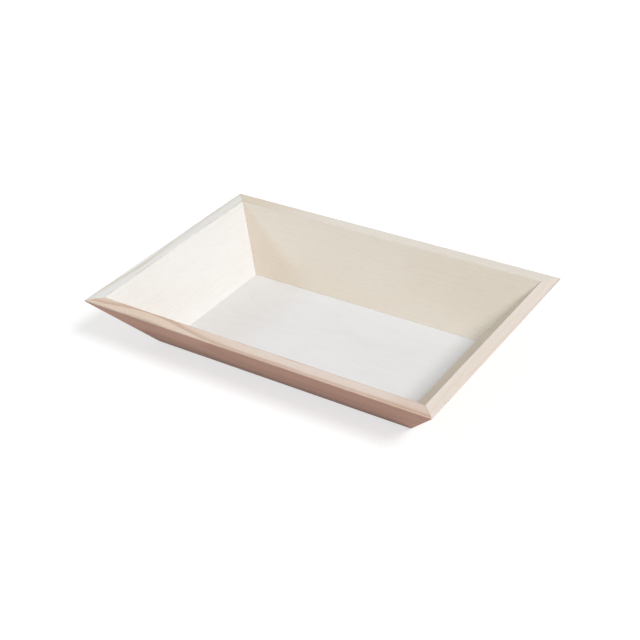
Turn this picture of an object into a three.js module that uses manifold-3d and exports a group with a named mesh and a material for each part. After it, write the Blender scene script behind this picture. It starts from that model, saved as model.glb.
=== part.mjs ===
// A shallow wooden tray. Four boards lean outwards, meet in mitres at the corners and are pinned there,
// and a thin plywood bottom is let into a rebate that runs round under them.
// Millimetres, +Z up, +X along the tray, origin on the table under the tray's middle.

import * as THREE from "three";
import { mergeVertices } from "three/addons/utils/BufferGeometryUtils.js";
import Module from "manifold-3d";

// Driving dimensions of the boards
const LENGTH = 300; // over the rims of the two ends
const WIDTH = 200; // over the rims of the two sides
const HEIGHT = 47; // from the table to the rim
const SPLAY = THREE.MathUtils.degToRad(38.5); // lean of each board from upright
const BOARD_THICKNESS = 9;
const ARRIS_RADIUS = 0.7; // easing of the rim's two long edges
const GLUE_LINE = 0.3; // gap across each mitre

// Driving dimensions of the bottom and its rebate
const REBATE_DEPTH = 4; // how far the rebate's ceiling covers the panel's edge
const PANEL_THICKNESS = 2;
const PANEL_RISE = 0.2; // how far the panel stays off the table
const PANEL_CLEARANCE = 0.2; // over the panel and round its edge

// Driving dimensions of the corner pins
const PIN_DIAMETER = 1.2;
const PIN_LENGTH = 20;
const PIN_POINT_LENGTH = 1.8;
const PIN_HEAD_DIAMETER = 1.9;
const PIN_HEAD_HEIGHT = 0.8;
const PIN_SET = 1.6; // how deep the head is punched below the board's face
const PIN_CLEARANCE = 0.15; // between a pin and its hole
const LOWER_PIN_HEIGHT = 16; // above the table
const UPPER_PIN_DROP = 14; // below the rim

// Fineness of the round stretches, and how far a cutting shape runs past what it cuts
const ARRIS_STEPS = 6;
const PIN_SIDES = 16;
const OVERRUN = 1;

// Sizes that follow from the driving ones
const slope = Math.tan(SPLAY);
const rimWidth = BOARD_THICKNESS / Math.cos(SPLAY);
const noseAngle = Math.PI / 2 - SPLAY;
const noseRun = ARRIS_RADIUS / Math.tan(noseAngle / 2);
const innerArrisRun = ARRIS_RADIUS * Math.tan(noseAngle / 2);
const halfLength = LENGTH / 2 + noseRun - ARRIS_RADIUS; // to the rim's edge before it is eased
const halfWidth = WIDTH / 2 + noseRun - ARRIS_RADIUS;
const rebateTop = PANEL_RISE + PANEL_THICKNESS + PANEL_CLEARANCE;
const rebateBack = innerFace(rebateTop) + REBATE_DEPTH;
const pinRadius = PIN_DIAMETER / 2;
const pinHeadRadius = PIN_HEAD_DIAMETER / 2;
const pinNeck = PIN_LENGTH - PIN_HEAD_HEIGHT;

const WOOD = { roughness: 0.75, metalness: 0 };
const materials = {
  frontWood: new THREE.MeshStandardMaterial({ color: 0xdcc4ae, ...WOOD }),
  backWood: new THREE.MeshStandardMaterial({ color: 0xe4d9c7, ...WOOD }),
  leftWood: new THREE.MeshStandardMaterial({ color: 0xebe4d9, ...WOOD }),
  rightWood: new THREE.MeshStandardMaterial({ color: 0xe6d7c6, ...WOOD }),
  plywood: new THREE.MeshStandardMaterial({ color: 0xe7e4e0, roughness: 0.8, metalness: 0 }),
  steel: new THREE.MeshStandardMaterial({ color: 0x9a9c9f, roughness: 0.4, metalness: 1 }),
};

const wasm = await Module();
wasm.setup();

// How far outside the rim's sharp edge a board's outer or inner face lies at a height; inside is negative.
function outerFace(z) {
  return (z - HEIGHT) * slope;
}

function innerFace(z) {
  return outerFace(z) - rimWidth;
}

// A closed geometry as a solid that can be cut, and back again.
function toSolid(geometry) {
  const bare = geometry.clone();
  bare.deleteAttribute("normal");
  bare.deleteAttribute("uv");
  const merged = mergeVertices(bare);
  return new wasm.Manifold(
    new wasm.Mesh({
      numProp: 3,
      vertProperties: merged.getAttribute("position").array,
      triVerts: new Uint32Array(merged.index.array),
    }),
  );
}

function toGeometry(solid) {
  const mesh = solid.getMesh();
  const indexed = new THREE.BufferGeometry();
  indexed.setAttribute("position", new THREE.BufferAttribute(mesh.vertProperties, 3));
  indexed.setIndex(new THREE.BufferAttribute(mesh.triVerts, 1));
  const geometry = indexed.toNonIndexed();
  geometry.computeVertexNormals();
  return geometry;
}

// A board's section: x is outwards from the rim's sharp edge, y is the height above the table.
function boardSection() {
  const section = new THREE.Shape();
  const arrisHeight = HEIGHT - ARRIS_RADIUS;
  section.moveTo(rebateBack, 0);
  section.lineTo(outerFace(0), 0);
  section.absarc(-noseRun, arrisHeight, ARRIS_RADIUS, -SPLAY, Math.PI / 2);
  section.absarc(innerArrisRun - rimWidth, arrisHeight, ARRIS_RADIUS, Math.PI / 2, Math.PI - SPLAY);
  section.lineTo(innerFace(rebateTop), rebateTop);
  section.lineTo(rebateBack, rebateTop);
  return section;
}

// The upright wedge between two mitres, for a board that faces +X: it keeps half a glue line off each mitre.
function mitreWedge(halfBoard, reach) {
  const inward = HEIGHT * slope + rimWidth + OVERRUN;
  const outerHalf = halfBoard + OVERRUN - GLUE_LINE * Math.SQRT1_2;
  const innerHalf = halfBoard - inward - GLUE_LINE * Math.SQRT1_2;
  const plan = new THREE.Shape();
  plan.moveTo(reach + OVERRUN, -outerHalf);
  plan.lineTo(reach + OVERRUN, outerHalf);
  plan.lineTo(reach - inward, innerHalf);
  plan.lineTo(reach - inward, -innerHalf);
  const wedge = new THREE.ExtrudeGeometry(plan, { depth: HEIGHT + 2 * OVERRUN, bevelEnabled: false });
  return wedge.translate(0, 0, -OVERRUN);
}

// One board, cut from a straight moulding, turned about +Z to face its own way, with its pin holes.
function boardGeometry(halfBoard, reach, turn, pinHoles) {
  const moulding = new THREE.ExtrudeGeometry(boardSection(), {
    depth: 2 * halfBoard,
    bevelEnabled: false,
    curveSegments: ARRIS_STEPS,
  });
  moulding.rotateX(Math.PI / 2);
  moulding.translate(reach, halfBoard, 0);
  moulding.rotateZ(turn);
  const wedge = mitreWedge(halfBoard, reach).rotateZ(turn);
  return toGeometry(toSolid(moulding).intersect(toSolid(wedge)).subtract(pinHoles));
}

// A pin stands on its point, with its head up, until it is placed.
function pinGeometry() {
  const outline = [
    [0, 0],
    [pinRadius, PIN_POINT_LENGTH],
    [pinRadius, pinNeck],
    [pinHeadRadius, pinNeck],
    [pinHeadRadius, PIN_LENGTH],
    [0, PIN_LENGTH],
  ];
  return new THREE.LatheGeometry(outline.map(([r, y]) => new THREE.Vector2(r, y)), PIN_SIDES);
}

// The hole a pin leaves: its own shape with clearance, and the punch's hole out through the sloping face.
function pinHoleGeometry() {
  const mouth = PIN_LENGTH + PIN_SET + (pinHeadRadius + PIN_CLEARANCE) * slope + OVERRUN;
  const outline = [
    [0, -PIN_CLEARANCE],
    [pinRadius + PIN_CLEARANCE, PIN_POINT_LENGTH],
    [pinRadius + PIN_CLEARANCE, pinNeck - PIN_CLEARANCE],
    [pinHeadRadius + PIN_CLEARANCE, pinNeck - PIN_CLEARANCE],
    [pinHeadRadius + PIN_CLEARANCE, mouth],
    [0, mouth],
  ];
  return new THREE.LatheGeometry(outline.map(([r, y]) => new THREE.Vector2(r, y)), PIN_SIDES);
}

// Every pin is driven level through an end board, along the middle of the side board's thickness.
function pinPlaces() {
  const levels = { lower: LOWER_PIN_HEIGHT, upper: HEIGHT - UPPER_PIN_DROP };
  const ends = { left: -1, right: 1 };
  const sides = { front: -1, back: 1 };
  const places = [];
  for (const [side, y] of Object.entries(sides)) {
    for (const [end, x] of Object.entries(ends)) {
      for (const [level, z] of Object.entries(levels)) {
        const point = halfLength + outerFace(z) - PIN_SET - PIN_LENGTH;
        const row = halfWidth + outerFace(z) - rimWidth / 2;
        places.push({
          name: `${level}_pin_${side}_${end}`,
          position: new THREE.Vector3(x * point, y * row, z),
          turn: (-x * Math.PI) / 2,
        });
      }
    }
  }
  return places;
}

function allPinHoles() {
  const holes = pinPlaces().map(({ position, turn }) => {
    const hole = pinHoleGeometry();
    hole.rotateZ(turn);
    return toSolid(hole.translate(position.x, position.y, position.z));
  });
  return holes.reduce((joined, hole) => joined.add(hole));
}

function boards() {
  const pinHoles = allPinHoles();
  const made = [
    ["right_end", halfWidth, halfLength, 0, materials.rightWood],
    ["back_side", halfLength, halfWidth, Math.PI / 2, materials.backWood],
    ["left_end", halfWidth, halfLength, Math.PI, materials.leftWood],
    ["front_side", halfLength, halfWidth, -Math.PI / 2, materials.frontWood],
  ];
  return made.map(([name, halfBoard, reach, turn, wood]) => {
    const mesh = new THREE.Mesh(boardGeometry(halfBoard, reach, turn, pinHoles), wood);
    mesh.name = name;
    return mesh;
  });
}

function bottomPanel() {
  const panelLength = 2 * (halfLength + rebateBack - PANEL_CLEARANCE);
  const panelWidth = 2 * (halfWidth + rebateBack - PANEL_CLEARANCE);
  const sheet = new THREE.BoxGeometry(panelLength, panelWidth, PANEL_THICKNESS);
  const mesh = new THREE.Mesh(sheet, materials.plywood);
  mesh.name = "bottom_panel";
  mesh.position.z = PANEL_RISE + PANEL_THICKNESS / 2;
  return mesh;
}

function cornerPins() {
  const shape = pinGeometry();
  const pins = new THREE.Group();
  for (const { name, position, turn } of pinPlaces()) {
    const mesh = new THREE.Mesh(shape, materials.steel);
    mesh.name = name;
    mesh.position.copy(position);
    mesh.rotation.z = turn;
    pins.add(mesh);
  }
  return pins;
}

const tray = new THREE.Group();
tray.add(...boards(), bottomPanel(), cornerPins());

export default tray;
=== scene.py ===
"""A shallow wooden tray: four leaning boards with mitred, pinned corners round a thin plywood bottom."""

import math

import bmesh
import bpy
from mathutils import Matrix, Vector


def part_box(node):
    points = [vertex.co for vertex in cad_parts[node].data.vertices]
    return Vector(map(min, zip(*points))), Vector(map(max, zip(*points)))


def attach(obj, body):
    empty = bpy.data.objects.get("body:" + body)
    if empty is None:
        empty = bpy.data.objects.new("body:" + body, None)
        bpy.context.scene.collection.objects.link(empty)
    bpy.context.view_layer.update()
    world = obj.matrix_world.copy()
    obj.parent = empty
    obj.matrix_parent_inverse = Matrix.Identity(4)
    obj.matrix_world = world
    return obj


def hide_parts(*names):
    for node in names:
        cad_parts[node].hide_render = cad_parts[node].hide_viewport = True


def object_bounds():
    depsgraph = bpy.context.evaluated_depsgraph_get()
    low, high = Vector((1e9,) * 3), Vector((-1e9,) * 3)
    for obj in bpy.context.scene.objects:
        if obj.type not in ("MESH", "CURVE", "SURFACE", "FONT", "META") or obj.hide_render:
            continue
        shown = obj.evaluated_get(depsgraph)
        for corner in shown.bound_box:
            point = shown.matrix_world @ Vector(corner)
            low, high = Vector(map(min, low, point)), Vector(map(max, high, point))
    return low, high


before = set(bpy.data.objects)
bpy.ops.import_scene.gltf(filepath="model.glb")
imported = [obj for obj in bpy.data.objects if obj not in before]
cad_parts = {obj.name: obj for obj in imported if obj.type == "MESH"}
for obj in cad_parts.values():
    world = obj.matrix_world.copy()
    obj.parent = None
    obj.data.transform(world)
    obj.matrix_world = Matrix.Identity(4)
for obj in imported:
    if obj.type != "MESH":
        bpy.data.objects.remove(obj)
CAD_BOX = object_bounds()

bl_info = {
    "name": "Leaning-sided wooden tray",
    "version": (1, 0, 0),
    "blender": (4, 5, 0),
    "location": "View3D > Sidebar > Tray",
    "description": "Models a mitred wooden tray with its plywood bottom, pins and studio stage",
    "category": "Object",
}

MM = 0.001
BODY = "root"

# The four boards: the node each stands for, its material slot and its turn about +Z from facing +X
BOARDS = {
    "right_board": ("right_end", "right_wood", 0.0),
    "back_board": ("back_side", "back_wood", math.pi / 2),
    "left_board": ("left_end", "left_wood", math.pi),
    "front_board": ("front_side", "front_wood", -math.pi / 2),
}

# Places and sizes of the bottom and the pins, from the frame
PANEL_LOW, PANEL_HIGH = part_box("bottom_panel")
PIN_NODES = sorted(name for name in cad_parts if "_pin_" in name)
PIN_LOW, PIN_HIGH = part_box(PIN_NODES[0])
PIN_LENGTH = PIN_HIGH.x - PIN_LOW.x
PIN_HEAD_RADIUS = (PIN_HIGH.y - PIN_LOW.y) / 2
PLIES = 3

# Steps across each kind of eased edge, and round a pin
NOSE_STEPS = 8
RIM_STEPS = 4
FOOT_STEPS = 3
PANEL_STEPS = 2
MITRE_STEPS = 1
PIN_STEPS = 32

# How near two places count as one, in metres
SAME_PLACE = 1e-7
CUT_WIDTH = 1e-8
MERGE_WIDTH = 1e-6

# The least turn between two faces at a sharp edge, in radians, and the least rise of a rim face's normal
SHARP_TURN = 1.0
RIM_RISE = 0.7


# Kinds of settings


def from_srgb(code):
    """A colour written as six hex digits, as the linear values that shaders use."""
    shares = [int(code[i : i + 2], 16) / 255 for i in (0, 2, 4)]
    return tuple(c / 12.92 if c <= 0.04045 else ((c + 0.055) / 1.055) ** 2.4 for c in shares)


def number_property(name, description, default, **kind):
    return bpy.props.FloatProperty(name=name, description=description, default=default, **kind)


def length_property(name, description, default):
    return number_property(name, description, default, min=0.0, unit="LENGTH", precision=5)


def angle_property(name, description, degrees):
    return number_property(name, description, math.radians(degrees), subtype="ANGLE")


def strength_property(name, description, default):
    return number_property(name, description, default, min=0.0)


def lens_property(name, description, default):
    return number_property(name, description, default, min=0.0, unit="CAMERA")


def vector_property(name, description, default, **kind):
    return bpy.props.FloatVectorProperty(
        name=name, description=description, default=default, size=3, **kind
    )


def place_property(name, description, default):
    return vector_property(name, description, default, subtype="XYZ", unit="LENGTH")


def light_property(name, description, colour):
    return vector_property(name, description, colour, min=0.0, max=1.0, subtype="COLOR")


def colour_property(name, description, code):
    return light_property(name, description, from_srgb(code))


def group_property(name, description, group):
    return bpy.props.PointerProperty(name=name, description=description, type=group)


# Settings


class TrayBoardSettings(bpy.types.PropertyGroup):
    """Sizes of the four boards and of the bottom's edges."""

    length: length_property("Length", "Over the rims of the two ends", CAD_BOX[1].x - CAD_BOX[0].x)
    width: length_property("Width", "Over the rims of the two sides", CAD_BOX[1].y - CAD_BOX[0].y)
    height: length_property("Height", "From the table to the rim", CAD_BOX[1].z - CAD_BOX[0].z)
    thickness: length_property("Thickness", "Thickness of each board", 9 * MM)
    splay: angle_property("Splay", "Lean of each board from upright", 38.5)
    arris: length_property("Rim easing", "Radius of the rim's two long edges", 0.7 * MM)
    foot_arris: length_property("Foot easing", "Radius of the boards' lower edges", 0.4 * MM)
    rebate_arris: length_property("Rebate easing", "Radius of the edge over the bottom", 0.15 * MM)
    mitre_arris: length_property("Mitre easing", "Chamfer along the edges of each mitre", 0.12 * MM)
    panel_arris: length_property("Bottom easing", "Radius of the bottom's edges", 0.15 * MM)
    glue_line: length_property("Glue line", "Gap across each mitre", 0.1 * MM)
    rebate_depth: length_property("Rebate depth", "Cover of the rebate over the bottom", 4 * MM)
    rebate_play: length_property("Rebate play", "Room over the bottom in its rebate", 0.05 * MM)


class TrayPinSettings(bpy.types.PropertyGroup):
    """Sizes of the corner pins."""

    diameter: length_property("Diameter", "Diameter of the shank", 1.2 * MM)
    point: length_property("Point", "Length of the point", 1.8 * MM)
    head: length_property("Head height", "Height of the head", 0.8 * MM)
    head_arris: length_property("Head easing", "Chamfer of the head's rim", 0.25 * MM)
    play: length_property("Play", "Room round the pin in its hole", 0.15 * MM)
    punch: length_property("Punch run", "Length of the hole outside the head", 4 * MM)


class TrayFinishSettings(bpy.types.PropertyGroup):
    """Colours of the tray's woods and metal, with painted shade on the boards' outer and inner faces."""

    front: colour_property("Front board", "Pale wood of the front board", "decdc0")
    front_late: colour_property("Front growth lines", "Growth lines of the front board", "bf9f8a")
    back: colour_property("Back board", "Pale wood of the back board", "dfd8cf")
    back_late: colour_property("Back growth lines", "Growth lines of the back board", "d0bea6")
    left: colour_property("Left board", "Pale wood of the left board", "e1e0de")
    left_late: colour_property("Left growth lines", "Growth lines of the left board", "cabca9")
    right: colour_property("Right board", "Pale wood of the right board", "e7dcd3")
    right_late: colour_property("Right growth lines", "Growth lines of the right board", "d3b99f")
    # Painted shade: the outer faces are coloured darker and redder than the wood, as they lean out over
    # the floor and lie in shade
    outer: colour_property("Outer faces", "Redder wood of the boards' outer faces", "d8baad")
    outer_late: colour_property("Outer growth lines", "Growth lines of the outer faces", "b59482")
    # Painted shade: a warm darker tint laid on the boards' inner faces, strongest where an inner face
    # lies in shade
    painted_inner_shade: colour_property("Heartwood", "Warmer tint of the boards' inner faces", "f8f0e2")
    ply: colour_property("Bottom", "Face veneer of the plywood bottom", "e1e0e0")
    ply_late: colour_property("Bottom figure", "Faint figure in the face veneer", "d6d4d2")
    core: colour_property("Core ply", "Cross-grained middle ply", "c7ad8c")
    steel: colour_property("Steel", "Bright wire of the pins", "b4b6b8")


class TrayStageSettings(bpy.types.PropertyGroup):
    """Camera, lights and floor."""

    floor: colour_property("Floor", "Shade of the studio floor, which keeps the shadow", "b4b4b4")
    floor_bounce: colour_property("Floor bounce", "Warm light from the floor on the tray", "c3aea3")
    floor_lift: strength_property("Floor lift", "White added to what the camera sees", 0.62)
    floor_size: length_property("Floor size", "Side of the square floor", 8.0)
    floor_drop: length_property("Floor drop", "Room between the floor and the tray's feet", 0.1 * MM)
    dome: strength_property("Dome", "Strength of the light all round", 0.42)
    dome_colour: light_property("Dome colour", "Colour of the light all round", (1.0, 0.92, 0.85))
    key: strength_property("Key light", "Strength of the softbox on the right", 2.39)
    key_colour: light_property("Key colour", "Colour of the right softbox", (0.985, 0.997, 1.0))
    key_spread: angle_property("Key spread", "Angle over which the right softbox spreads", 18)
    key_place: place_property("Key place", "Where the right softbox stands", (0.644, -0.2, 0.7385))
    fill: strength_property("Fill light", "Strength of the softbox on the left", 0.75)
    fill_colour: light_property("Fill colour", "Colour of the left softbox", (0.45, 0.78, 1.0))
    fill_spread: angle_property("Fill spread", "Angle over which the left softbox spreads", 8)
    fill_place: place_property("Fill place", "Where the left softbox stands", (-0.75, -0.4, 0.38))
    azimuth: angle_property("Azimuth", "Camera's turn round the tray", 35.02)
    elevation: angle_property("Elevation", "Camera's height above the horizon", 32.65)
    roll: angle_property("Roll", "Camera's tilt about its own axis", -3.34)
    distance: length_property("Distance", "From the camera to its aim", 0.9604)
    aim: place_property("Aim", "Point that the camera looks at", (0.0016, -0.0067, 0.0235))
    lens: lens_property("Lens", "Focal length in millimetres", 70.96)
    sensor: lens_property("Sensor", "Width of the camera's sensor in millimetres", 36.0)


class TraySettings(bpy.types.PropertyGroup):
    """Everything that a user may change."""

    boards: group_property("Boards", "Sizes of the boards and of the bottom's edges", TrayBoardSettings)
    pins: group_property("Pins", "Sizes of the corner pins", TrayPinSettings)
    finish: group_property("Finish", "Colours of the woods and the metal", TrayFinishSettings)
    stage: group_property("Stage", "Camera, lights and floor", TrayStageSettings)


# Shader graphs

WHITE = (1.0, 1.0, 1.0, 1.0)
BUMP_STRENGTH = 0.5


class Graph:
    """A node tree, with short calls that add and join its nodes."""

    def __init__(self, tree):
        self.tree = tree
        self.tree.nodes.clear()

    def node(self, kind, sockets=None, **settings):
        """A new node, whose sockets take values or other nodes' outputs."""
        made = self.tree.nodes.new(kind)
        for name, value in settings.items():
            setattr(made, name, value)
        for socket, value in (sockets or {}).items():
            if isinstance(value, bpy.types.NodeSocket):
                self.tree.links.new(value, made.inputs[socket])
            else:
                made.inputs[socket].default_value = value
        return made

    def math(self, operation, first, second=0.0):
        return self.node("ShaderNodeMath", {0: first, 1: second}, operation=operation).outputs[0]

    def vector_math(self, operation, first, second):
        return self.node("ShaderNodeVectorMath", {0: first, 1: second}, operation=operation).outputs[0]

    def mapped(self, place, location=(0, 0, 0), rotation=(0, 0, 0), scale=(1, 1, 1)):
        """Coordinates that are scaled, turned and then moved."""
        sockets = {"Vector": place, "Location": location, "Rotation": rotation, "Scale": scale}
        return self.node("ShaderNodeMapping", sockets).outputs[0]

    def object_place(self):
        return self.node("ShaderNodeTexCoord").outputs["Object"]

    def attribute(self, name):
        return self.node("ShaderNodeAttribute", attribute_name=name).outputs["Fac"]

    def noise(self, place, cells, detail=3.0, roughness=0.5, output="Fac"):
        """Noise with a number of cells in a metre along each axis."""
        stretched = self.mapped(place, scale=cells)
        sockets = {"Vector": stretched, "Scale": 1.0, "Detail": detail, "Roughness": roughness}
        return self.node("ShaderNodeTexNoise", sockets).outputs[output]

    def ramp(self, value, stops):
        """A grey ramp through (place, level) stops."""
        made = self.node("ShaderNodeValToRGB", {"Fac": value})
        elements = made.color_ramp.elements
        while len(elements) < len(stops):
            elements.new(0.5)
        for element, (place, level) in zip(elements, stops):
            element.position = place
            element.color = (level, level, level, 1.0)
        return made.outputs["Color"]

    def spread(self, value, low, high):
        """A value from 0 to 1, spread from low to high."""
        sockets = {"Value": value, "To Min": low, "To Max": high}
        return self.node("ShaderNodeMapRange", sockets).outputs[0]

    def blend(self, share, first, second, mode="MIX"):
        """Two colours, blended by the share of the second."""
        sockets = {"Factor": share, 6: first, 7: second}
        return self.node("ShaderNodeMix", sockets, data_type="RGBA", blend_type=mode).outputs[2]

    def shaded(self, colour, level):
        """A colour made darker or lighter by a level round 1."""
        sockets = {"Red": level, "Green": level, "Blue": level}
        grey = self.node("ShaderNodeCombineColor", sockets).outputs[0]
        return self.blend(1.0, colour, grey, mode="MULTIPLY")

    def seen(self):
        """1 where a thing is seen, also in metal or through glass, and 0 where it lights others."""
        rays = self.node("ShaderNodeLightPath").outputs
        straight_or_mirrored = self.math("MAXIMUM", rays["Is Camera Ray"], rays["Is Glossy Ray"])
        return self.math("MAXIMUM", straight_or_mirrored, rays["Is Transmission Ray"])


def rgba(colour):
    return (*colour, 1.0)


def new_graph(name):
    material = bpy.data.materials.new(name)
    material.use_nodes = True
    return material, Graph(material.node_tree)


def finish_graph(graph, colour, roughness, relief, depth, fixed):
    """Joins colour, roughness and bump to a shader whose other values are fixed all over."""
    relief_sockets = {"Height": relief, "Strength": BUMP_STRENGTH, "Distance": depth}
    bump = graph.node("ShaderNodeBump", relief_sockets).outputs[0]
    sockets = {"Base Color": colour, "Roughness": roughness, "Normal": bump, **fixed}
    shader = graph.node("ShaderNodeBsdfPrincipled", sockets).outputs[0]
    graph.node("ShaderNodeOutputMaterial", {"Surface": shader})


# Objects


def add_object(name, data):
    made = bpy.data.objects.new(name, data)
    bpy.context.scene.collection.objects.link(made)
    return made


def add_mesh(name, bm, materials):
    """Turns a finished bmesh into an object with its materials."""
    mesh = bpy.data.meshes.new(name)
    bm.to_mesh(mesh)
    bm.free()
    for material in materials:
        mesh.materials.append(material)
    return add_object(name, mesh)


def place_piece(name, bm, materials, node):
    """Makes a piece that rides with the tray and stands for its node."""
    piece = add_mesh(name, bm, materials)
    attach(piece, BODY)
    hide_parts(node)
    return piece


# Boards


def slope_sizes(size):
    """The sizes that follow from the boards' own: the slope of their lean, the rim and its easing."""
    nose = (math.pi / 2 - size.splay) / 2
    set_back = size.arris / math.tan(nose) - size.arris
    lean = math.sin(size.splay)
    return {
        "slope": math.tan(size.splay),
        "rim": size.thickness / math.cos(size.splay),
        # A bevel's round is an ellipse on a sharp corner, and this run sets it back as far as a true arc
        "nose_run": set_back / (1 + lean - math.sqrt(1 + lean * lean)),
        "inner_run": size.arris * math.tan(nose),
        "half_length": size.length / 2 + set_back,
        "half_width": size.width / 2 + set_back,
    }


def board_place(size, turn):
    """A board's half length and its reach from the middle, to the rim's edge before it is eased."""
    more = slope_sizes(size)
    halves = (more["half_width"], more["half_length"])
    is_end = abs(math.cos(turn)) > abs(math.sin(turn))
    return halves if is_end else halves[::-1]


def board_section(size):
    """Corners of a board's section, outwards from the rim's sharp edge and up, round from the foot."""
    more = slope_sizes(size)
    ceiling = PANEL_HIGH.z + size.rebate_play

    def outer(z):
        return (z - size.height) * more["slope"]

    def inner(z):
        return outer(z) - more["rim"]

    rebate_back = inner(ceiling) + size.rebate_depth
    return [
        (rebate_back, 0),
        (outer(0), 0),
        (0, size.height),
        (-more["rim"], size.height),
        (inner(ceiling), ceiling),
        (rebate_back, ceiling),
    ]


def all_parts(bm):
    return bm.verts[:] + bm.edges[:] + bm.faces[:]


def ease(bm, edges, run, steps):
    """Rounds edges over a run along each face, and marks the new faces as eased."""
    eased = bm.faces.layers.float["eased"]
    made = bmesh.ops.bevel(
        bm,
        geom=edges,
        offset=run,
        offset_type="OFFSET",
        affect="EDGES",
        segments=steps,
        profile=0.5,
        material=-1,
    )
    for face in made["faces"]:
        face[eased] = 1.0
        face.smooth = True


def moulding(section, half):
    """A straight bar with a board's section, along Y from -half to half."""
    bm = bmesh.new()
    for layer in ("eased", "outside", "inside", "rim"):
        bm.faces.layers.float.new(layer)
    start = bm.faces.new([bm.verts.new((x, -half, z)) for x, z in section])
    run = bmesh.ops.extrude_face_region(bm, geom=[start])["geom"]
    moved = [part for part in run if isinstance(part, bmesh.types.BMVert)]
    bmesh.ops.translate(bm, verts=moved, vec=(0, 2 * half, 0))
    bmesh.ops.recalc_face_normals(bm, faces=bm.faces)
    return bm


def long_edge(bm, out, up):
    """The edge that runs along the board through one corner of its section."""
    for edge in bm.edges:
        ends = [vert.co for vert in edge.verts]
        if all(abs(co.x - out) < SAME_PLACE and abs(co.z - up) < SAME_PLACE for co in ends):
            return edge
    raise RuntimeError(f"no long edge at {out:.5f}, {up:.5f}")


def cut_mitre(bm, corner, normal):
    """Cuts a board at a mitre and closes the cut with a new face."""
    cut = bmesh.ops.bisect_plane(
        bm, geom=all_parts(bm), dist=CUT_WIDTH, plane_co=corner, plane_no=normal, clear_outer=True
    )
    outline = [part for part in cut["geom_cut"] if isinstance(part, bmesh.types.BMEdge)]
    return bmesh.ops.contextual_create(bm, geom=outline)["faces"][0]


def mark_faces(bm, splay):
    """Notes how far each face is an outer, an inner or a rim face, for the wood's colour and the painted
    shade on outer and inner faces.
    """
    marks = bm.faces.layers.float
    outwards = Vector((math.cos(splay), 0, -math.sin(splay)))
    for face in bm.faces:
        face[marks["outside"]] = max(0.0, face.normal.dot(outwards))
        face[marks["inside"]] = min(1.0, max(0.0, -face.normal.x / outwards.x))
        face[marks["rim"]] = float(face.normal.z > RIM_RISE)


def board_mesh(size, turn):
    """One board in its place: a moulding, eased, mitred at both ends and turned to face its way."""
    half, reach = board_place(size, turn)
    more = slope_sizes(size)
    section = [(reach + out, up) for out, up in board_section(size)]
    bm = moulding(section, half)
    inner_foot, outer_foot, nose, rim_inside, beak, _ = section
    easings = (
        (nose, more["nose_run"], NOSE_STEPS),
        (rim_inside, more["inner_run"], RIM_STEPS),
        (beak, size.rebate_arris, FOOT_STEPS),
        (inner_foot, size.foot_arris, FOOT_STEPS),
        (outer_foot, size.foot_arris, FOOT_STEPS),
    )
    for corner, run, steps in easings:
        ease(bm, [long_edge(bm, *corner)], run, steps)
    offset = size.glue_line / math.sqrt(2)
    for side in (-1, 1):
        cap = cut_mitre(bm, (reach, side * (half - offset), 0), (-1, side, 0))
        ease(bm, cap.edges[:], size.mitre_arris, MITRE_STEPS)
    bmesh.ops.recalc_face_normals(bm, faces=bm.faces)
    mark_faces(bm, size.splay)
    bmesh.ops.rotate(bm, verts=bm.verts, cent=(0, 0, 0), matrix=Matrix.Rotation(turn, 3, "Z"))
    return bm


# Bottom


def bottom_mesh(size):
    """The plywood sheet, parted into plies round its edge, with the core as its second material."""
    bm = bmesh.new()
    bm.faces.layers.float.new("eased")
    bmesh.ops.create_cube(bm, size=1.0)
    bmesh.ops.scale(bm, vec=PANEL_HIGH - PANEL_LOW, verts=bm.verts)
    bmesh.ops.translate(bm, vec=(PANEL_LOW + PANEL_HIGH) / 2, verts=bm.verts)
    ply = (PANEL_HIGH.z - PANEL_LOW.z) / PLIES
    for joint in range(1, PLIES):
        level = PANEL_LOW.z + joint * ply
        bmesh.ops.bisect_plane(
            bm, geom=all_parts(bm), dist=CUT_WIDTH, plane_co=(0, 0, level), plane_no=(0, 0, 1)
        )
    middle = (PANEL_LOW.z + PANEL_HIGH.z) / 2
    for face in bm.faces:
        if abs(face.calc_center_median().z - middle) < ply / 2:
            face.material_index = 1
    sharp = [edge for edge in bm.edges if abs(edge.calc_face_angle(0.0)) > SHARP_TURN]
    ease(bm, sharp, size.panel_arris, PANEL_STEPS)
    return bm


# Pins


def pin_frame(node):
    """Where a pin's point is, and the turn that lays it along X with its head outside."""
    low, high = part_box(node)
    way = 1 if low.x > 0 else -1
    point = Vector((low.x if way > 0 else high.x, (low.y + high.y) / 2, (low.z + high.z) / 2))
    return Matrix.Translation(point) @ Matrix.Rotation(way * math.pi / 2, 4, "Y")


def spun(outline, node):
    """A round solid in a pin's place, from (radius, height) points that start and end on its axis."""
    bm = bmesh.new()
    verts = [bm.verts.new((radius, 0, height)) for radius, height in outline]
    edges = [bm.edges.new(pair) for pair in zip(verts, verts[1:])]
    bmesh.ops.spin(
        bm,
        geom=verts + edges,
        cent=(0, 0, 0),
        axis=(0, 0, 1),
        dvec=(0, 0, 0),
        angle=2 * math.pi,
        steps=PIN_STEPS,
        use_merge=True,
    )
    bmesh.ops.remove_doubles(bm, verts=bm.verts, dist=MERGE_WIDTH)
    bmesh.ops.recalc_face_normals(bm, faces=bm.faces)
    bmesh.ops.transform(bm, matrix=pin_frame(node), verts=bm.verts)
    return bm


def pin_mesh(size, node):
    """A wire pin with a point and a flat round head."""
    radius = size.diameter / 2
    neck = PIN_LENGTH - size.head
    outline = [
        (0, 0),
        (radius, size.point),
        (radius, neck),
        (PIN_HEAD_RADIUS, neck),
        (PIN_HEAD_RADIUS, PIN_LENGTH - size.head_arris),
        (PIN_HEAD_RADIUS - size.head_arris, PIN_LENGTH),
        (0, PIN_LENGTH),
    ]
    bm = spun(outline, node)
    for face in bm.faces:
        face.smooth = True
    return bm


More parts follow.
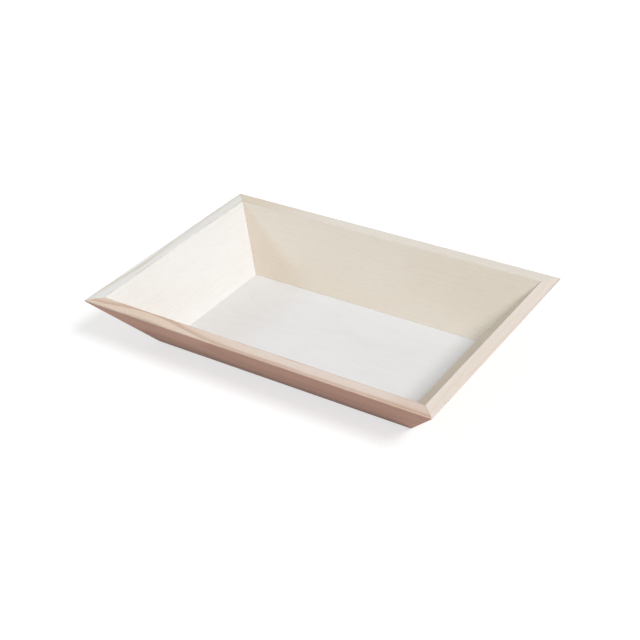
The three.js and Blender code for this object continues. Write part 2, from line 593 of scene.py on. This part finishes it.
def pin_hole_cutter(size):
    """All the pins' holes as one object to cut with: play round each pin, and room for the punch."""
    hole = size.diameter / 2 + size.play
    punch = PIN_HEAD_RADIUS + size.play
    neck = PIN_LENGTH - size.head - size.play
    mouth = PIN_LENGTH + size.punch
    outline = [
        (0, -size.play),
        (hole, size.point),
        (hole, neck),
        (punch, neck),
        (punch, mouth),
        (0, mouth),
    ]
    joined = bpy.data.meshes.new("pin_holes")
    whole = bmesh.new()
    for node in PIN_NODES:
        bm = spun(outline, node)
        bm.to_mesh(joined)
        bm.free()
        whole.from_mesh(joined)
    whole.to_mesh(joined)
    whole.free()
    return add_object("pin_holes", joined)


def cut_pin_holes(piece, cutter):
    """Cuts the pin holes for good, so that no modifier is left on the board."""
    cut = piece.modifiers.new("pin holes", "BOOLEAN")
    cut.operation = "DIFFERENCE"
    cut.solver = "EXACT"
    cut.object = cutter
    made = bpy.data.meshes.new_from_object(piece.evaluated_get(bpy.context.evaluated_depsgraph_get()))
    piece.modifiers.remove(cut)
    plain = piece.data
    piece.data = made
    bpy.data.meshes.remove(plain)


# How boards lie in their logs: quarter-sawn with straight growth lines, or flat-sawn with flowing ones
STRAIGHT = {
    "figure": (30, 3, 30),  # cells in a metre of the noise that makes the growth lines wander
    "wander": 12 * MM,  # over what width they wander
    "swelling": None,  # where along the board the trunk swells, over what length and by how much
    "ripple": 0.55,  # unevenness of the lines, as a share of their spacing
    "fade": 0.25,  # what is left of a line where it is weakest
    "drift": 0.4,  # how much the hue changes from place to place
    "slant": 0.0,  # how fast it changes one way along the board, for each metre
    "late_end": None,  # where late wood starts to fill the rim, where it is fullest, and how full
    # Late wood's share across one year's growth, as (place, level) stops
    "lines": [(0.0, 0.12), (0.08, 0.0), (0.5, 0.1), (0.8, 0.5), (0.93, 1.0), (1.0, 0.12)],
}
FLOWING = {
    "figure": (8, 7, 8),
    "wander": 4 * MM,
    "swelling": (-93 * MM, 44 * MM, 8.9 * MM),
    "ripple": 0.2,
    "fade": 0.7,
    "drift": 1.0,
    "slant": 2.5,
    "late_end": None,
    "lines": [(0.0, 0.1), (0.05, 0.0), (0.55, 0.08), (0.75, 0.8), (0.92, 1.0), (1.0, 0.1)],
}
LOGS = {
    "right_board": {
        **STRAIGHT,
        "pith": (20 * MM, -240 * MM),  # outwards and up the slope from the rim's edge
        "spacing": 3.1 * MM,  # from one growth line to the next
        "seed": 3.1,  # where in the noise the board lies
        "contrast": (0.3, 0.2),  # how much the lines show on the rim and on the faces
        "painted_inner_shade": 1.0,  # how much painted shade, a warm darker tint, the inner face has
    },
    "back_board": {
        **STRAIGHT,
        "pith": (-30 * MM, -260 * MM),
        "spacing": 3.6 * MM,
        "seed": 7.4,
        "contrast": (0.12, 0.13),
        "late_end": (40 * MM, 135 * MM, 0.52),
        "painted_inner_shade": 0.45,
    },
    "left_board": {
        **STRAIGHT,
        "pith": (30 * MM, -220 * MM),
        "spacing": 3.2 * MM,
        "seed": 11.8,
        "contrast": (0.95, 0.1),
        "painted_inner_shade": 0.0,
    },
    "front_board": {
        **FLOWING,
        "pith": (-55.9 * MM, -18.6 * MM),
        "spacing": 10 * MM,
        "seed": 4.4,
        "contrast": (0.9, 0.22),
        "late_end": (108 * MM, 130 * MM, 0.25),
        "painted_inner_shade": 0.0,
    },
}

# The tints between which pale wood drifts, the lines' added contrast outside, and the share of pale wood
# on eased edges, as sanding wear and a painted highlight along the rims
WARM_TINT = (0.985, 0.955, 0.915)
COOL_TINT = (1.01, 1.035, 1.07)
OUTER_CONTRAST = 0.25
EDGE_WEAR_AND_HIGHLIGHT = 0.1

# Shares of the fibres, the growth lines and the pores in the wood's relief
FIBRE_RELIEF = 0.6
LINE_RELIEF = 0.2
PORE_RELIEF = 0.5

# Growth rings that the figure of the bottom's veneer runs through
VENEER_RINGS = 14.0


# Materials


def board_coordinates(graph, size, turn):
    """Coordinates that follow a board: outwards from its outer face, along it, and up its slope."""
    _, reach = board_place(size, turn)
    upright = Matrix.Rotation(-size.splay, 3, "Y")
    turned = upright @ Matrix.Rotation(-turn, 3, "Z")
    rim_edge = upright @ Vector((reach, 0, size.height))
    return graph.mapped(graph.object_place(), location=-rim_edge, rotation=turned.to_euler())


def growth_lines(graph, place, sawn, log):
    """Growth lines as a saw tooth of early and late wood round a wandering pith."""
    wander = graph.noise(sawn, log["figure"], detail=2.0, output="Color")
    off_middle = graph.vector_math("SUBTRACT", wander, (0.5, 0.5, 0.5))
    bend = graph.vector_math("MULTIPLY", off_middle, (log["wander"],) * 3)
    bent = graph.vector_math("ADD", place, bend)
    pith_out, pith_up = log["pith"]
    across = graph.mapped(bent, location=(-pith_out, 0, -pith_up), scale=(1, 0, 1))
    radius = graph.node("ShaderNodeVectorMath", {0: across}, operation="LENGTH").outputs["Value"]
    if log["swelling"]:
        middle, length, rise = log["swelling"]
        along = graph.node("ShaderNodeSeparateXYZ", {"Vector": bent}).outputs["Y"]
        off = graph.math("MULTIPLY", graph.math("SUBTRACT", along, middle), 1 / length)
        bell = graph.math("EXPONENT", graph.math("MULTIPLY", graph.math("MULTIPLY", off, off), -1.0))
        radius = graph.math("ADD", radius, graph.math("MULTIPLY", bell, rise))
    ripple = graph.noise(sawn, cells=(150, 30, 150))
    years = graph.math("MULTIPLY", radius, 1 / log["spacing"])
    tooth = graph.math("FRACT", graph.math("ADD", years, graph.math("MULTIPLY", ripple, log["ripple"])))
    patches = graph.noise(sawn, cells=(90, 11, 90), detail=2.0)
    strength = graph.ramp(patches, [(0.35, log["fade"]), (0.65, 1.0)])
    return graph.math("MULTIPLY", graph.ramp(tooth, log["lines"]), strength)


def late_share(graph, log, lines, along, outside):
    """How much late wood shows: the growth lines, and the late end of a board that has one."""
    rim = graph.attribute("rim")
    rim_contrast, face_contrast = log["contrast"]
    contrast = graph.spread(rim, low=face_contrast, high=rim_contrast)
    contrast = graph.math("ADD", contrast, graph.math("MULTIPLY", outside, OUTER_CONTRAST))
    share = graph.math("MULTIPLY", lines, contrast)
    if log["late_end"]:
        start, full, most = log["late_end"]
        sockets = {"Value": along, "From Min": start, "From Max": full, "To Max": most}
        filling = graph.node("ShaderNodeMapRange", sockets, interpolation_type="SMOOTHSTEP").outputs[0]
        share = graph.math("ADD", share, graph.math("MULTIPLY", filling, rim))
    return share


def pale_wood(graph, log, pale, along, cloud):
    """The wood between the growth lines, whose hue drifts from place to place and along the board."""
    hue = graph.math("ADD", cloud, graph.math("MULTIPLY", along, log["slant"]))
    cool = graph.ramp(hue, [(0.35, 0.0), (0.65, 1.0)])
    tint = graph.blend(cool, rgba(WARM_TINT), rgba(COOL_TINT))
    return graph.blend(log["drift"], pale, tint, mode="MULTIPLY")


def wood_material(board, size, finish):
    """Bare sanded wood with growth lines, fibres and short pores, with painted shade: darker and redder
    on its outer faces, and warmer on the inner faces of shaded boards.
    """
    _, slot, turn = BOARDS[board]
    log = LOGS[board]
    wood = board.removesuffix("_board")
    pale = rgba(getattr(finish, wood))
    late = rgba(getattr(finish, f"{wood}_late"))
    material, graph = new_graph(slot)
    place = board_coordinates(graph, size, turn)
    along = graph.node("ShaderNodeSeparateXYZ", {"Vector": place}).outputs["Y"]
    sawn = graph.mapped(place, location=(log["seed"],) * 3)
    lines = growth_lines(graph, place, sawn, log)
    fibre = graph.noise(sawn, cells=(900, 30, 900), detail=4.0, roughness=0.6)
    specks = graph.noise(sawn, cells=(2600, 130, 2600), detail=1.0)
    pores = graph.ramp(specks, [(0.62, 0.0), (0.72, 1.0)])
    cloud = graph.noise(sawn, cells=(16, 6, 16))
    outside = graph.attribute("outside")
    # Painted shade: faces that look outwards and down take the darker, redder outer colours
    early = graph.blend(outside, pale_wood(graph, log, pale, along, cloud), rgba(finish.outer))
    dark = graph.blend(outside, late, rgba(finish.outer_late))
    colour = graph.blend(late_share(graph, log, lines, along, outside), early, dark)
    # Painted shade: the inner faces take the warm darker tint, by each board's share
    painted_inner_shade = graph.math("MULTIPLY", graph.attribute("inside"), log["painted_inner_shade"])
    colour = graph.blend(painted_inner_shade, colour, rgba(finish.painted_inner_shade), mode="MULTIPLY")
    fibre_shade = graph.spread(fibre, low=0.95, high=1.05)
    shade = graph.math("MULTIPLY", fibre_shade, graph.spread(cloud, low=0.96, high=1.04))
    shade = graph.math("MULTIPLY", shade, graph.spread(pores, low=1.0, high=0.93))
    colour = graph.shaded(colour, shade)
    # Eased edges turn partly back to pale wood: sanding wear, and a painted highlight along the rim's
    # nose
    wear_and_highlight = graph.math("MULTIPLY", graph.attribute("eased"), EDGE_WEAR_AND_HIGHLIGHT)
    colour = graph.blend(wear_and_highlight, colour, pale)
    fibre_relief = graph.math("MULTIPLY", fibre, FIBRE_RELIEF)
    relief = graph.math("ADD", fibre_relief, graph.math("MULTIPLY", lines, LINE_RELIEF))
    relief = graph.math("SUBTRACT", relief, graph.math("MULTIPLY", pores, PORE_RELIEF))
    roughness = graph.spread(fibre, low=0.6, high=0.8)
    finish_graph(graph, colour, roughness, relief, depth=0.12 * MM, fixed={"Specular IOR Level": 0.25})
    return material


def plywood_material(pale, late):
    """Almost white rotary-cut veneer, with a faint broad figure and fine fibres along the tray."""
    material, graph = new_graph("bottom_plywood")
    place = graph.object_place()
    contour = graph.noise(place, cells=(4, 16, 4), roughness=0.45)
    rings = graph.math("FRACT", graph.math("MULTIPLY", contour, VENEER_RINGS))
    figure = graph.ramp(rings, [(0.0, 0.2), (0.1, 0.0), (0.6, 0.25), (0.9, 1.0), (1.0, 0.2)])
    fibre = graph.noise(place, cells=(35, 1100, 1100), detail=4.0, roughness=0.6)
    cloud = graph.noise(place, cells=(9, 14, 9))
    colour = graph.blend(graph.spread(figure, low=0.0, high=0.2), rgba(pale), rgba(late))
    fibre_shade = graph.spread(fibre, low=0.96, high=1.03)
    shade = graph.math("MULTIPLY", fibre_shade, graph.spread(cloud, low=0.97, high=1.03))
    colour = graph.shaded(colour, shade)
    roughness = graph.spread(fibre, low=0.55, high=0.75)
    finish_graph(graph, colour, roughness, fibre, depth=0.08 * MM, fixed={"Specular IOR Level": 0.3})
    return material


def core_material(colour):
    """The middle ply, whose end grain shows as dark pores."""
    material, graph = new_graph("core_ply")
    pores = graph.noise(graph.object_place(), cells=(1800, 1800, 2600), detail=2.0)
    mixed = graph.shaded(rgba(colour), graph.spread(pores, low=0.75, high=1.1))
    roughness = graph.spread(pores, low=0.7, high=0.9)
    finish_graph(graph, mixed, roughness, pores, depth=0.1 * MM, fixed={"Specular IOR Level": 0.2})
    return material


def steel_material(colour):
    """Bright drawn wire with fine scratches along it."""
    material, graph = new_graph("pin_steel")
    drawn = graph.noise(graph.object_place(), cells=(60, 3000, 3000), detail=2.0)
    mixed = graph.shaded(rgba(colour), graph.spread(drawn, low=0.85, high=1.05))
    roughness = graph.spread(drawn, low=0.3, high=0.5)
    finish_graph(graph, mixed, roughness, drawn, depth=0.02 * MM, fixed={"Metallic": 1.0})
    return material


# Stage


def floor_mesh(stage, boards):
    """A level floor just under the tray, open where the tray covers it to let light underneath."""
    more = slope_sizes(boards)
    covered = boards.height * more["slope"] + 2 * boards.foot_arris
    quarter = stage.floor_size / 4
    bm = bmesh.new()
    bmesh.ops.create_grid(bm, x_segments=1, y_segments=1, size=2 * quarter)
    opening = bm.faces[:]
    bmesh.ops.inset_individual(bm, faces=opening, thickness=quarter, use_even_offset=True)
    shares = ((more["half_length"] - covered) / quarter, (more["half_width"] - covered) / quarter, 1)
    bmesh.ops.scale(bm, vec=shares, verts=opening[0].verts[:])
    bmesh.ops.delete(bm, geom=opening, context="FACES_ONLY")
    bmesh.ops.translate(bm, verts=bm.verts, vec=(0, 0, -stage.floor_drop))
    return bm


def floor_material(stage):
    """Pale matt floor that is seen as white, with the tray's shadow kept, and is clear from below."""
    material, graph = new_graph("studio_floor")
    seen = graph.seen()
    colour = graph.blend(seen, rgba(stage.floor_bounce), rgba(stage.floor))
    matt = graph.node("ShaderNodeBsdfDiffuse", {"Color": colour}).outputs[0]
    white = graph.math("MULTIPLY", seen, stage.floor_lift)
    lift = graph.node("ShaderNodeEmission", {"Strength": white}).outputs[0]
    lit = graph.node("ShaderNodeAddShader", {0: matt, 1: lift}).outputs[0]
    clear = graph.node("ShaderNodeBsdfTransparent").outputs[0]
    from_below = graph.node("ShaderNodeNewGeometry").outputs["Backfacing"]
    both = graph.node("ShaderNodeMixShader", {0: from_below, 1: lit, 2: clear}).outputs[0]
    graph.node("ShaderNodeOutputMaterial", {"Surface": both})
    return material


def white_world(stage):
    """Even light all round, which is seen as white."""
    world = bpy.data.worlds.new("studio_dome")
    world.use_nodes = True
    graph = Graph(world.node_tree)
    seen = graph.seen()
    light = {"Color": rgba(stage.dome_colour), "Strength": stage.dome}
    dome = graph.node("ShaderNodeBackground", light).outputs[0]
    white = graph.node("ShaderNodeBackground", {"Color": WHITE, "Strength": 1.0}).outputs[0]
    mixed = graph.node("ShaderNodeMixShader", {0: seen, 1: dome, 2: white}).outputs[0]
    graph.node("ShaderNodeOutputWorld", {"Surface": mixed})
    return world


def distant_softbox(stage, side):
    """A soft lamp whose light is even all over the tray, as if from far away."""
    lamp = bpy.data.lights.new(f"{side}_softbox", "SUN")
    lamp.energy = getattr(stage, side)
    lamp.color = getattr(stage, f"{side}_colour")
    lamp.angle = getattr(stage, f"{side}_spread")
    place = Vector(getattr(stage, f"{side}_place"))
    holder = add_object(f"{side}_softbox", lamp)
    holder.location = place
    holder.rotation_euler = (-place).to_track_quat("-Z", "Y").to_euler()


def photo_camera(stage):
    """The camera, turned round its aim and rolled about its own axis."""
    level = math.cos(stage.elevation)
    right = math.sin(stage.azimuth) * level
    front = math.cos(stage.azimuth) * level
    back = Vector((right, -front, math.sin(stage.elevation)))
    data = bpy.data.cameras.new("photo_camera")
    data.lens = stage.lens
    data.sensor_width = stage.sensor
    camera = add_object("photo_camera", data)
    stand = Matrix.Translation(Vector(stage.aim) + back * stage.distance)
    upright = (-back).to_track_quat("-Z", "Y").to_matrix().to_4x4()
    camera.matrix_world = stand @ upright @ Matrix.Rotation(stage.roll, 4, "Z")
    return camera


# Operators and sidebar


class TRAY_OT_boards(bpy.types.Operator):
    """Make the four leaning boards with their mitres, rebate and pin holes"""

    bl_idname = "tray.make_boards"
    bl_label = "Make boards"

    def execute(self, context):
        settings = context.scene.tray
        cutter = pin_hole_cutter(settings.pins)
        for name, (node, slot, turn) in BOARDS.items():
            material = wood_material(name, settings.boards, settings.finish)
            piece = place_piece(name, board_mesh(settings.boards, turn), [material], node)
            cut_pin_holes(piece, cutter)
        holes = cutter.data
        bpy.data.objects.remove(cutter)
        bpy.data.meshes.remove(holes)
        return {"FINISHED"}


class TRAY_OT_bottom(bpy.types.Operator):
    """Make the plywood bottom with its three plies"""

    bl_idname = "tray.make_bottom"
    bl_label = "Make bottom"

    def execute(self, context):
        settings = context.scene.tray
        finish = settings.finish
        materials = [plywood_material(finish.ply, finish.ply_late), core_material(finish.core)]
        bm = bottom_mesh(settings.boards)
        place_piece("plywood_bottom", bm, materials, "bottom_panel")
        return {"FINISHED"}


class TRAY_OT_pins(bpy.types.Operator):
    """Make the steel pins that hold the corners"""

    bl_idname = "tray.make_pins"
    bl_label = "Make pins"

    def execute(self, context):
        settings = context.scene.tray
        steel = steel_material(settings.finish.steel)
        for node in PIN_NODES:
            place_piece(f"wire_{node}", pin_mesh(settings.pins, node), [steel], node)
        return {"FINISHED"}


class TRAY_OT_stage(bpy.types.Operator):
    """Make the floor, lights and camera"""

    bl_idname = "tray.make_stage"
    bl_label = "Make stage"

    def execute(self, context):
        scene = context.scene
        stage = scene.tray.stage
        floor = add_mesh("studio_floor", floor_mesh(stage, scene.tray.boards), [floor_material(stage)])
        scene.world = white_world(stage)
        for side in ("key", "fill"):
            distant_softbox(stage, side)
        scene.camera = photo_camera(stage)
        scene.view_settings.view_transform = "Standard"
        return {"FINISHED"}


class TRAY_PT_sidebar(bpy.types.Panel):
    """Lists the tray's settings and the steps that build it"""

    bl_idname = "TRAY_PT_sidebar"
    bl_label = "Wooden tray"
    bl_space_type = "VIEW_3D"
    bl_region_type = "UI"
    bl_category = "Tray"

    def draw(self, context):
        settings = context.scene.tray
        for group in (settings.boards, settings.pins, settings.finish, settings.stage):
            box = self.layout.box()
            for name in group.__annotations__:
                box.prop(group, name)
        for operator in OPERATORS:
            self.layout.operator(operator.bl_idname)


OPERATORS = (TRAY_OT_boards, TRAY_OT_bottom, TRAY_OT_pins, TRAY_OT_stage)
CLASSES = (
    TrayBoardSettings,
    TrayPinSettings,
    TrayFinishSettings,
    TrayStageSettings,
    TraySettings,
    *OPERATORS,
    TRAY_PT_sidebar,
)


def register():
    for cls in CLASSES:
        bpy.utils.register_class(cls)
    bpy.types.Scene.tray = group_property("Tray", "Settings of the wooden tray", TraySettings)


def unregister():
    del bpy.types.Scene.tray
    for cls in reversed(CLASSES):
        bpy.utils.unregister_class(cls)


def main():
    register()
    bpy.ops.tray.make_boards()
    bpy.ops.tray.make_bottom()
    bpy.ops.tray.make_pins()
    bpy.ops.tray.make_stage()


if __name__ == "__main__":
    main()
